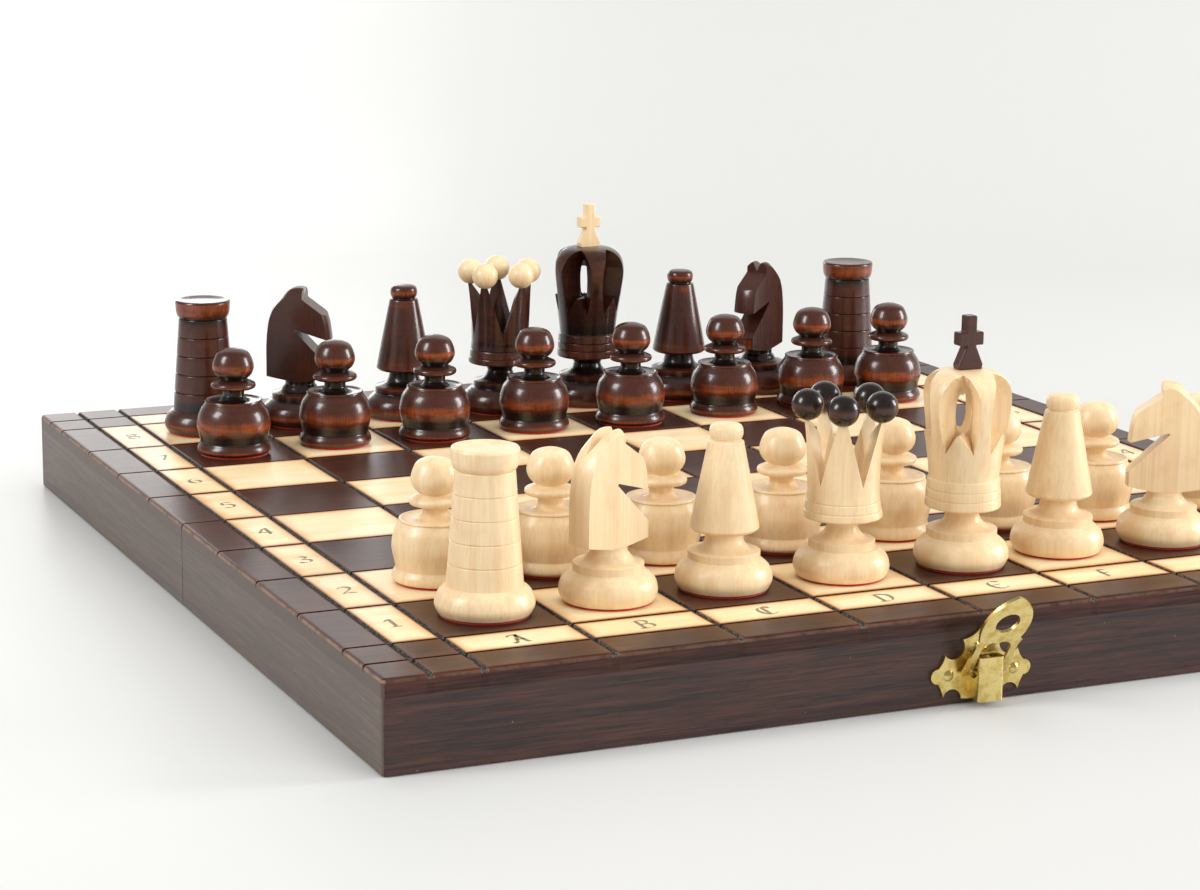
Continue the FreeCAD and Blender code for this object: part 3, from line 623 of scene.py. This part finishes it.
# ---- coordinates: broad-nib strokes in a box 4 wide and 6 high -----------------------------------
STROKES = {
    "A": [[(0.0, 0.4), (0.8, 0.0), (2.4, 5.9)], [(2.2, 5.9), (3.3, 0.5), (4.0, 0.2)],
          [(1.0, 2.2), (3.2, 2.2)], [(0.2, 4.6), (0.8, 5.8), (2.3, 5.6)]],
    "B": [[(1.0, 0.0), (1.0, 6.0)], [(0.0, 5.4), (1.6, 6.0), (3.2, 5.2), (2.8, 3.6), (1.2, 3.1)],
          [(1.2, 3.1), (3.4, 2.9), (3.7, 1.1), (2.2, 0.0), (0.1, 0.2)]],
    "C": [[(3.6, 4.9), (2.6, 6.0), (0.8, 5.0), (0.3, 2.8), (1.2, 0.5), (2.8, 0.1), (3.9, 1.0)],
          [(2.0, 5.6), (1.9, 0.6)]],
    "D": [[(1.0, 0.2), (1.0, 5.6)],
          [(0.0, 5.6), (1.8, 6.0), (3.8, 4.6), (3.7, 1.6), (2.2, 0.0), (0.0, 0.2)]],
    "E": [[(3.7, 5.2), (2.2, 6.0), (0.7, 4.9), (0.4, 2.4), (1.4, 0.3), (2.9, 0.1), (3.9, 1.0)],
          [(0.6, 3.0), (3.0, 3.2)]],
    "F": [[(1.2, 0.0), (1.2, 5.4)], [(0.0, 5.2), (1.4, 6.0), (2.8, 5.5), (4.0, 6.0)],
          [(0.4, 3.1), (3.0, 3.2)]],
    "G": [[(3.6, 5.0), (2.3, 6.0), (0.7, 4.9), (0.3, 2.6), (1.3, 0.3), (2.9, 0.3), (3.7, 2.6), (2.1, 2.7)]],
    "H": [[(0.8, 0.2), (0.8, 6.0)], [(3.2, 0.0), (3.2, 5.6)], [(0.8, 3.0), (2.2, 3.6), (3.2, 3.1)],
          [(0.0, 5.4), (0.9, 6.0)]],
    "1": [[(0.8, 4.6), (2.2, 6.0), (2.2, 0.2)], [(1.0, 0.1), (3.4, 0.1)]],
    "2": [[(0.5, 4.8), (1.7, 6.0), (3.2, 5.2), (3.0, 3.4), (0.5, 0.3)],
          [(0.4, 0.2), (1.8, 0.5), (3.7, 0.2)]],
    "3": [[(0.5, 5.4), (2.0, 6.0), (3.2, 4.9), (1.7, 3.2)],
          [(1.7, 3.2), (3.5, 2.4), (3.1, 0.6), (1.4, 0.0), (0.3, 0.7)]],
    "4": [[(2.8, 0.0), (2.8, 6.0), (0.3, 1.8)], [(0.2, 1.8), (3.8, 1.8)]],
    "5": [[(3.4, 5.9), (1.0, 5.7), (0.8, 3.4)],
          [(0.8, 3.4), (2.5, 3.7), (3.5, 2.2), (2.4, 0.2), (0.4, 0.4)]],
    "6": [[(3.2, 5.8), (1.2, 4.4), (0.5, 2.0), (1.6, 0.1), (3.3, 0.9), (3.0, 2.9), (0.8, 2.4)]],
    "7": [[(0.4, 5.4), (1.6, 5.8), (3.6, 5.7), (1.6, 0.0)]],
    "8": [[(2.0, 3.2), (0.6, 4.6), (2.0, 6.0), (3.4, 4.7), (2.0, 3.2), (0.4, 1.6), (1.9, 0.0), (3.6, 1.4),
           (2.0, 3.2)]]}
SIGN_WIDE, SIGN_HIGH = 4, 6
LETTER_SIZE, NUMBER_SIZE = 1.1, 1.05
NIB = Vector((0.46, 0.25))        # half of the nib, held at a slant
INK_HIGH = 0.03                   # how far the ink stands above and reaches below the surface


def glyph_mesh(signs):
    """One mesh of closed thin strokes, for signs of (character, x, y, size)."""
    work = bmesh.new()
    for sign, x, y, size in signs:
        for stroke in STROKES[sign]:
            dense = [stroke[0]] + (spline_points(stroke, 0.25) if len(stroke) > 2 else [stroke[1]])
            for a, b in zip(dense, dense[1:]):
                a, b = Vector(a), Vector(b)
                corners = [a - NIB, a + NIB, b + NIB, b - NIB]
                if (b - a).cross(NIB) > 0:
                    corners.reverse()
                verts = []
                for z in (THICK - INK_HIGH, THICK + INK_HIGH):
                    for corner in corners:
                        place = Vector((x + (corner.x - SIGN_WIDE / 2) * size,
                                        y + (corner.y - SIGN_HIGH / 2) * size, z)) * MM
                        verts.append(work.verts.new(place))
                low, high = verts[:4], verts[4:]
                work.faces.new(low[::-1])
                work.faces.new(high)
                for k in range(4):
                    work.faces.new((low[k], low[(k + 1) % 4], high[(k + 1) % 4], high[k]))
    bmesh.ops.recalc_face_normals(work, faces=work.faces)
    mesh = bpy.data.meshes.new("coordinates")
    work.to_mesh(mesh)
    work.free()
    return mesh


def make_coordinates(side, material):
    strip_x, strip_y = GRID + STRIP_SIDE / 2, GRID + STRIP_FRONT / 2
    signs = [("ABCDEFGH"[k], (k - 3.5) * SQUARE, side * strip_y, LETTER_SIZE) for k in range(8)]
    ranks = range(4) if side < 0 else range(4, 8)
    signs += [(str(k + 1), sign * strip_x, (k - 3.5) * SQUARE, NUMBER_SIZE)
              for k in ranks for sign in (-1, 1)]
    half = "front" if side < 0 else "rear"
    piece = new_piece(half + "_coordinates", glyph_mesh(signs), material, half + "_panel", replaces=False)


def make_board(board, frame_along, ink):
    for half, side in (("front", -1), ("rear", 1)):
        piece = new_piece(half + "_playing_panel", panel_mesh(side), board, half + "_panel")
        piece.modifiers.new("flat_faces", "WEIGHTED_NORMAL").keep_sharp = True
        for place, along in (("latch", "x"), ("hinge", "x"), ("left", "y"), ("right", "y")):
            paint("%s_%s_rail" % (half, place), frame_along[along])
        make_coordinates(side, ink)


def paint(node, material):
    """Give a CAD node a better material."""
    slots = frame["nodes"][node].data.materials
    slots.clear()
    slots.append(material)


# ==== men =========================================================================================
BUN = [[(11.3, FELT)], [(12.2, 2.8), (11.5, 5.7), (9.4, 7.75)]]


def stem_base(rim, neck, neck_z):
    return BUN + [[(rim, 7.9)], [(rim, 9.7)], [(rim - 0.3, 9.95), (rim - 2.6, 10.6),
                                               (neck + 0.6, 11.9), (neck, neck_z)]]


def pawn_profile(colour):
    belly = [(10.9, 9.2), (10.3, 13.0), (9.1, 15.4)] if colour == "white" else \
            [(10.9, 8.8), (10.1, 12.8), (8.5, 15.4)]
    rim = belly[-1][0]
    return outline((0, FELT), [
        [(10.3, FELT)], [(10.9, 1.3), (10.7, 2.6), (9.9, 3.9)], [(10.2, 5.4)] + belly,
        [(rim - 0.2, 15.6)], [(rim, 16.2), (rim - 0.5, 16.4)],
        [(rim - 1.4, 16.0), (4.6, 16.1), (3.2, 17.5)], [(3.2, 19.2)],
        [(6.0, 19.7)], [(6.65, 20.6), (5.9, 21.6)], [(3.9, 22.5)],
        [(5.5, 24.1), (6.1, 26.6), (4.8, 30.1), (2.5, 31.4), (0, 31.8)]])


def rook_profile(_):
    low_r, high_r, low_z, top_z = 9.4, 7.3, 7.3, 35.6
    bands, nick, deep = 5, 0.25, 0.3
    band = (top_z - low_z) / bands

    def wall(z):
        return low_r + (high_r - low_r) * (z - low_z) / (top_z - low_z)
    stretches = [[(11.3, FELT)], [(12.2, 2.8), (11.3, 5.7), (low_r + 0.25, low_z)]]
    for index in range(bands):
        z = low_z + index * band
        stretches += [[(wall(z), z)], [(wall(z + band - nick), z + band - nick)],
                      [(wall(z + band) - deep, z + band - nick / 2)]]
    stretches += [[(high_r, top_z)], [(7.8, 36.3), (8.15, 37.6), (8.35, 40.4)], [(8.0, 41.0)],
                  [(7.4, 41.0)], [(5.0, 40.6), (2.0, 40.45), (0, 40.4)]]
    return outline((0, FELT), stretches, ease=0.18)


def bishop_profile(_):
    return outline((0, FELT), stem_base(9.05, 4.5, 14.4) + [
        [(7.9, 15.0)], [(8.7, 15.7)], [(6.7, 26.0), (4.4, 37.4)],
        [(3.6, 37.6)], [(3.6, 38.0)], [(3.95, 38.2)],
        [(4.25, 39.5), (3.95, 41.0), (2.9, 41.7), (0, 42.0)]])


def plan_turn(x, y, angle):
    return (x * math.cos(angle) - y * math.sin(angle), x * math.sin(angle) + y * math.cos(angle))


def turned_place(centre, turn):
    """Maps (out, across, up) in a man's own turned frame to millimetres on the board."""
    angle = math.radians(turn)

    def place(out, across, up):
        x, y = plan_turn(out, across, angle)
        return (centre[0] + x, centre[1] + y, centre[2] + up)
    return place


def knight_mesh(name, centre, turn):
    """Turned base and bullet-shaped head; the head is flattened, then sawn to a forehead and a mouth."""
    head_z, neck_r, head_r, thick = 13.8, 4.6, 10.4, 7.4
    beyond = 15
    blank = lathe(name, outline((0, FELT), stem_base(8.75, neck_r, 12.6) + [
        [(neck_r, head_z)], [(head_r, 15.0)], [(head_r, 24.0)],
        [(10.1, 28.5), (9.5, 32.5), (8.5, 35.5), (7.2, 37.6), (5.2, 39.8), (3.9, 41.4),
         (2.6, 42.6), (0, 43.4)]]), centre)
    place = turned_place(centre, turn)

    def sawn(points):
        """Cutter through the whole thickness, from (out, up) points."""
        return extruded("saw", points, -beyond, beyond, lambda u, v, d: place(u, d, v))
    cheeks = [extruded("cheek", [(-beyond, head_z), (beyond, head_z), (beyond, 50), (-beyond, 50)],
                       side * thick / 2, side * beyond, lambda u, v, d: place(u, d, v)) for side in (-1, 1)]
    forehead = sawn([(1.8, 50), (1.8, 39.4), (16, 29.4), (16, 50)])
    mouth = sawn([(-0.2, 29.0), (-0.45, 29.25), (-0.4, 29.6), (-0.05, 29.7), (15, 25.4), (15, 13.9)])
    fall = 0.3
    parting = extruded("parting", [(0, 39.4), (-3.6, 46), (3.6, 46)], -beyond, beyond,
                       lambda u, v, d: place(d, u, v + fall * d))
    return carve(blank, cheeks + [forehead, mouth, parting])


def crown_wall(name, centre, turn, foot, outer, inner, floor_z, notch_z, notch_slope, top_z):
    """Lathe whose hollow wall is cut by V notches into points; each V is wide at the top.

    foot is the profile up to the wall, outer and inner give the wall's radii at a height.
    """
    facets = 12 * CROWN_POINTS
    up_steps, in_steps = 14, 8
    angles = [math.radians(turn) + math.tau * k / facets for k in range(facets)]
    per_point = facets // CROWN_POINTS
    wall_z = foot[-1][1]
    verts, rings, rub = [], [], []
    proud = convexity(foot + [(outer(wall_z + step), wall_z + step) for step in (4, 8, 12, 16)])

    def cut_height(radius, index):
        """Height of the notch's face at a radius; index counts facets from a point's middle."""
        away = abs((index + per_point // 2) % per_point - per_point / 2)
        from_notch = math.pi / CROWN_POINTS - away * math.tau / facets
        return min(top_z, notch_z + notch_slope * radius * math.sin(from_notch))

    def add_ring(points, value):
        rings.append(list(range(len(verts), len(verts) + facets)))
        for angle, (r, z) in zip(angles, points):
            verts.append((centre[0] + r * math.cos(angle), centre[1] + r * math.sin(angle), centre[2] + z))
            rub.append(value)

    for (r, z), value in zip(foot[1:], proud[1:]):
        add_ring([(r, z)] * facets, value)

    def wall_ring(radius_at, base_z, share, value):
        points = []
        for index in range(facets):
            high = cut_height(radius_at(top_z - 6), index)
            high = cut_height(radius_at(high), index)
            z = base_z + (high - base_z) * share
            points.append((radius_at(z), z))
        add_ring(points, value)
    for step in range(1, up_steps + 1):
        wall_ring(outer, wall_z, step / up_steps, 0.15 + 0.5 * (step == up_steps))
    for step in range(in_steps, -1, -1):
        wall_ring(inner, floor_z, step / in_steps, 0.3 * (step == in_steps))
    faces = []
    for low, high in zip(rings, rings[1:]):
        faces += [(low[k], low[(k + 1) % facets], high[(k + 1) % facets], high[k]) for k in range(facets)]
    bottom, floor = len(verts), len(verts) + 1
    verts += [(centre[0], centre[1], centre[2] + foot[0][1]), (centre[0], centre[1], centre[2] + floor_z)]
    rub += [0, 0]
    faces += [(bottom, rings[0][(k + 1) % facets], rings[0][k]) for k in range(facets)]
    faces += [(floor, rings[-1][k], rings[-1][(k + 1) % facets]) for k in range(facets)]
    mesh = bpy.data.meshes.new(name)
    mesh.from_pydata([tuple(c * MM for c in v) for v in verts], [], faces)
    mesh.attributes.new("rub", "FLOAT", "POINT").data.foreach_set("value", rub)
    return mesh


def queen_mesh(name, centre, turn):
    """Hollow crown with five points, each seated under its ball."""
    foot = outline((0, FELT), stem_base(8.4, 3.9, 13.1) + [
        [(5.0, 14.9), (9.6, 15.5)], [(10.1, 15.9)], [(9.9, 17.4)], [(9.6, 17.6)], [(9.75, 17.8)],
        [(9.4, 19.8)], [(9.2, 20.0)], [(9.35, 20.2)], [(9.1, 22.3)]])
    flare = [(22.3, 9.1), (28.0, 9.15), (36.0, 9.6), (43.0, 10.6)]

    def outer(z):
        for (z0, r0), (z1, r1) in zip(flare, flare[1:]):
            if z <= z1 or z1 == flare[-1][0]:
                return r0 + (r1 - r0) * (z - z0) / (z1 - z0)

    def inner(z):
        return 5.6 + 1.3 * (z - 24.0) / 20.0
    return crown_wall(name, centre, turn, foot, outer, inner, 24.2, 24.4, 20.0 / 6.1, 42.0)


def king_mesh(name, centre, turn, open_half):
    """Egg-shaped hollow crown; each window is a V cut that just breaks through into the hollow."""
    body = lathe(name, outline((0, FELT), stem_base(9.05, 4.3, 13.4) + [
        [(5.4, 14.9), (9.5, 15.5)], [(9.75, 15.9)], [(9.65, 17.9)], [(9.4, 18.05)], [(9.6, 18.2)],
        [(9.5, 20.3)], [(9.25, 20.45)], [(9.45, 20.6)], [(9.3, 22.9)], [(8.9, 23.1)],
        [(9.6, 29.5), (10.7, 36.5), (11.5, 43.4), (10.5, 47.8), (7.9, 50.2), (4.6, 51.0)],
        [(0, 51.0)]]), centre, 90)
    hollow = lathe("hollow", outline((0, 33.5), [
        [(3.6, 33.5)], [(4.3, 36.5), (4.5, 42.0), (3.6, 46.0), (0, 47.4)]], ease=0), centre, 40)
    place = turned_place(centre, turn)

    def window(angle):
        """Wedge from a narrow inner opening to a wide outer one, W-shaped at the foot."""
        def ring(out, half):
            return [(out, t, z) for t, z in half + [(-t, z) for t, z in reversed(half[1:-1])]]
        narrow = [(t * open_half, z) for t, z in (
            (0, 47.0), (0.28, 46.9), (0.5, 46.6), (0.8, 44.8), (0.95, 42.1), (1.0, 39.2), (1.0, 36.1),
            (0.9, 34.3), (0, 35.4))]
        wide = [(0, 57.9), (3.2, 53.0), (5.5, 47.6), (6.8, 44.2), (7.1, 40.8), (6.9, 37.8), (6.3, 34.8),
                (5.0, 27.5), (0, 35.4)]
        rings = ring(4.0, narrow) + ring(13.0, wide)
        count = len(rings) // 2
        verts = []
        for out, t, z in rings:
            x, y = plan_turn(out, t, angle)
            verts.append(place(x, y, z))
        faces = [tuple(range(count)), tuple(range(2 * count - 1, count - 1, -1))]
        faces += [((k + 1) % count, k, count + k, count + (k + 1) % count) for k in range(count)]
        return solid_mesh("window", verts, faces)
    return carve(body, [hollow] + [window(math.tau * k / CROWN_POINTS) for k in range(CROWN_POINTS)])


def cross_mesh(name, centre):
    half = [(3.3, 51.0), (3.5, 52.2), (1.3, 57.2), (3.5, 57.2), (3.5, 60.6), (1.45, 60.6), (1.45, 64.8)]
    thick = 3.3
    points = half + [(-x, z) for x, z in reversed(half)]
    return extruded(name, points, -thick / 2, thick / 2,
                    lambda u, v, d: (centre[0] + u, centre[1] + d, centre[2] + v))


def ball_profile():
    """Turned ball with a slight flat under it, where it sits on its point."""
    return outline((0, -BALL_R * 0.96), [
        [(1.1, -BALL_R * 0.94)], [(BALL_R, 0), (0.01, BALL_R)], [(0, BALL_R)]], step=0.45, ease=0.1)


def felt_profile(radius):
    return outline((0, FELT_LOW), [[(radius, FELT_LOW)], [(radius + 0.12, 0.35), (radius, FELT_TOP)],
                                   [(0, FELT_TOP)]], step=0.4, ease=0)


def darken(mesh, amount):
    """Lower a turned mesh's rub, so that its dark stain shows deeper."""
    for entry in mesh.attributes["rub"].data:
        entry.value -= amount


def foot_centre(node):
    """Middle of a man's round foot, from the lowest points of its CAD node."""
    points = [v.co for v in frame["nodes"][node].data.vertices]
    floor = min(p.z for p in points)
    foot = [p for p in points if p.z < floor + 0.1 * MM]
    middle = [(min(p[i] for p in foot) + max(p[i] for p in foot)) / 2 / MM for i in (0, 1)]
    return (middle[0], middle[1], THICK)


PROFILES = {"pawn": pawn_profile, "rook": rook_profile, "bishop": bishop_profile}


def make_man(node, woods, felt):
    """All pieces of one man, standing where its CAD node stands."""
    colour, kind = node.split("_")[:2]
    other = "black" if colour == "white" else "white"
    centre = foot_centre(node)
    if kind == "knight":
        mesh = knight_mesh(node, centre, KNIGHT_TURN[node])
    elif kind == "queen":
        mesh = queen_mesh(node, centre, QUEEN_TURN[colour])
    elif kind == "king":
        mesh = king_mesh(node, centre, KING_TURN[colour], KING_WINDOW[colour])
    else:
        mesh = lathe(node, PROFILES[kind](colour), centre)
    mesh.materials.clear()
    smooth(mesh)
    if kind in ("queen", "king"):
        darken(mesh, CROWN_DARKER)
    body = new_piece(node + "_body", mesh, woods[colour], node)
    if kind in EDGE_ROUND:
        soften(body, EDGE_ROUND[kind])
    else:
        body.modifiers.new("flat_faces", "WEIGHTED_NORMAL").keep_sharp = True
    disc = lathe(node + "_felt", felt_profile(PAWN_FELT_R if kind == "pawn" else FELT_R), centre)
    new_piece(node + "_felt", disc, felt, node)
    if kind == "queen":
        for k in range(CROWN_POINTS):
            x, y = plan_turn(BALL_RING, 0, math.radians(QUEEN_TURN[colour] + 360 * k / CROWN_POINTS))
            spot = (centre[0] + x, centre[1] + y, centre[2] + BALL_Z)
            ball = lathe(node + "_ball", ball_profile(), spot, 40)
            darken(ball, BALL_DARKER)
            piece = new_piece("%s_ball_%d" % (node, k + 1), ball, woods[other], node + "_balls")
    if kind == "king":
        piece = new_piece(node + "_cross_piece", cross_mesh(node + "_cross", centre), woods[other],
                          node + "_cross")
        soften(piece, EDGE_ROUND["cross"])


# ==== brass =======================================================================================
def make_brasswork(brass):
    """Brass on every metal CAD node, with the sheet pieces' edges rounded."""
    edges = {"clasp_plate": 0.12, "clasp_lever": 0.14, "catch_plate": 0.12, "clasp_pivot": 0.15,
             "hinge_leaves_front": 0.1, "hinge_leaves_rear": 0.1}
    for node in list(edges) + ["clasp_nails", "catch_nails", "hinge_pins",
                               "hinge_screws_front", "hinge_screws_rear"]:
        paint(node, brass)
        if node in edges:
            soften(frame["nodes"][node], edges[node], angle=40.0)


# ==== table, light and camera =====================================================================
def camera_axes():
    """Right, up and forward of the camera, from its yaw, pitch and roll."""
    yaw, pitch, roll = (math.radians(a) for a in (CAMERA_YAW, CAMERA_PITCH, CAMERA_ROLL))
    forward = Vector((math.sin(yaw) * math.cos(pitch), math.cos(yaw) * math.cos(pitch), math.sin(pitch)))
    level = Vector((math.cos(yaw), -math.sin(yaw), 0))
    up = level.cross(forward)
    right = level * math.cos(roll) + up * math.sin(roll)
    return right, right.cross(forward), forward


def make_camera():
    right, up, forward = camera_axes()
    data = bpy.data.cameras.new("camera")
    data.lens = CAMERA_LENS
    data.sensor_width = 36
    data.clip_start = 0.01
    camera = bpy.data.objects.new("camera", data)
    bpy.context.scene.collection.objects.link(camera)
    turn = Matrix((right, up, -forward)).transposed().to_4x4()
    camera.matrix_world = Matrix.Translation(CAMERA_AT) @ turn
    bpy.context.scene.camera = camera


def make_table():
    """Plain pale table top, just under the rims, that bends up into a backdrop far behind."""
    right, up, forward = camera_axes()
    back = Vector((forward.x, forward.y, 0)).normalized()
    side = Vector((back.y, -back.x, 0))
    bend_at, bend, far, half_wide, below = 0.55, 0.5, 3.0, 4, 0.0002
    profile = [(-far, 0), (bend_at, 0)] + [
        (bend_at + bend * math.sin(math.radians(a)), bend - bend * math.cos(math.radians(a)))
        for a in range(6, 91, 6)] + [(bend_at + bend, far)]
    mesh = bpy.data.meshes.new("table")
    verts = []
    for out, z in profile:
        for s in (-half_wide, half_wide):
            verts.append(tuple(back * out + side * s + Vector((0, 0, z - below))))
    mesh.from_pydata(verts, [], [(2 * k, 2 * k + 1, 2 * k + 3, 2 * k + 2) for k in range(len(profile) - 1)])
    mesh.shade_smooth()
    table = bpy.data.objects.new("table", mesh)
    bpy.context.scene.collection.objects.link(table)
    shade = Shade("table_white")
    mesh.materials.append(shade.finish(rgb(212, 212, 210), 0.4, Specular_IOR_Level=0.25))


def add_softbox(name, direction, distance, size, power, mirrored=True):
    """Square light, placed by a direction given as (right, up, towards the camera).

    mirrored says whether glossy surfaces show it.
    """
    right, up, forward = camera_axes()
    aim = Vector((0, 0, 0.03))
    offset = (right * direction[0] + up * direction[1] - forward * direction[2]).normalized() * distance
    data = bpy.data.lights.new(name, "AREA")
    data.shape = "RECTANGLE"
    data.size, data.size_y = size
    data.energy = power
    light = bpy.data.objects.new(name, data)
    bpy.context.scene.collection.objects.link(light)
    light.visible_glossy = mirrored
    light.location = aim + offset
    light.rotation_euler = (-offset).to_track_quat("-Z", "Y").to_euler()


def make_light():
    world = bpy.data.worlds.new("studio")
    bpy.context.scene.world = world
    world.use_nodes = True
    background = world.node_tree.nodes["Background"]
    background.inputs["Color"].default_value = (1.0, 0.99, 0.97, 1.0)
    background.inputs["Strength"].default_value = 0.32
    add_softbox("left_window", (-0.75, 0.43, 0.5), 1.3, (0.4, 0.55), 9)
    add_softbox("right_window", (0.93, 0.32, -0.05), 1.3, (0.4, 0.55), 10)
    add_softbox("back_left_window", (-0.35, 0.3, -0.85), 0.95, (0.45, 0.3), 1.5)
    add_softbox("front_fill", (0.9, 0.3, 0.9), 1.5, (1.2, 0.9), 12, mirrored=False)
    add_softbox("overhead", (0.0, 1.0, 0.1), 1.6, (1.4, 1.4), 12, mirrored=False)
    bpy.context.scene.view_settings.view_transform = "Standard"


# ==== build =======================================================================================
make_camera()
make_table()
make_light()
make_board(make_board_material(), {along: make_frame_material(along) for along in "xy"}, make_ink())
make_brasswork(make_brass())
wood = {"white": make_light_wood(), "black": make_dark_wood()}
red_felt = make_felt()
for node_name in sorted(frame["nodes"]):
    if node_name.split("_")[0] in wood and node_name.split("_")[-1] not in ("balls", "cross"):
        make_man(node_name, wood, red_felt)
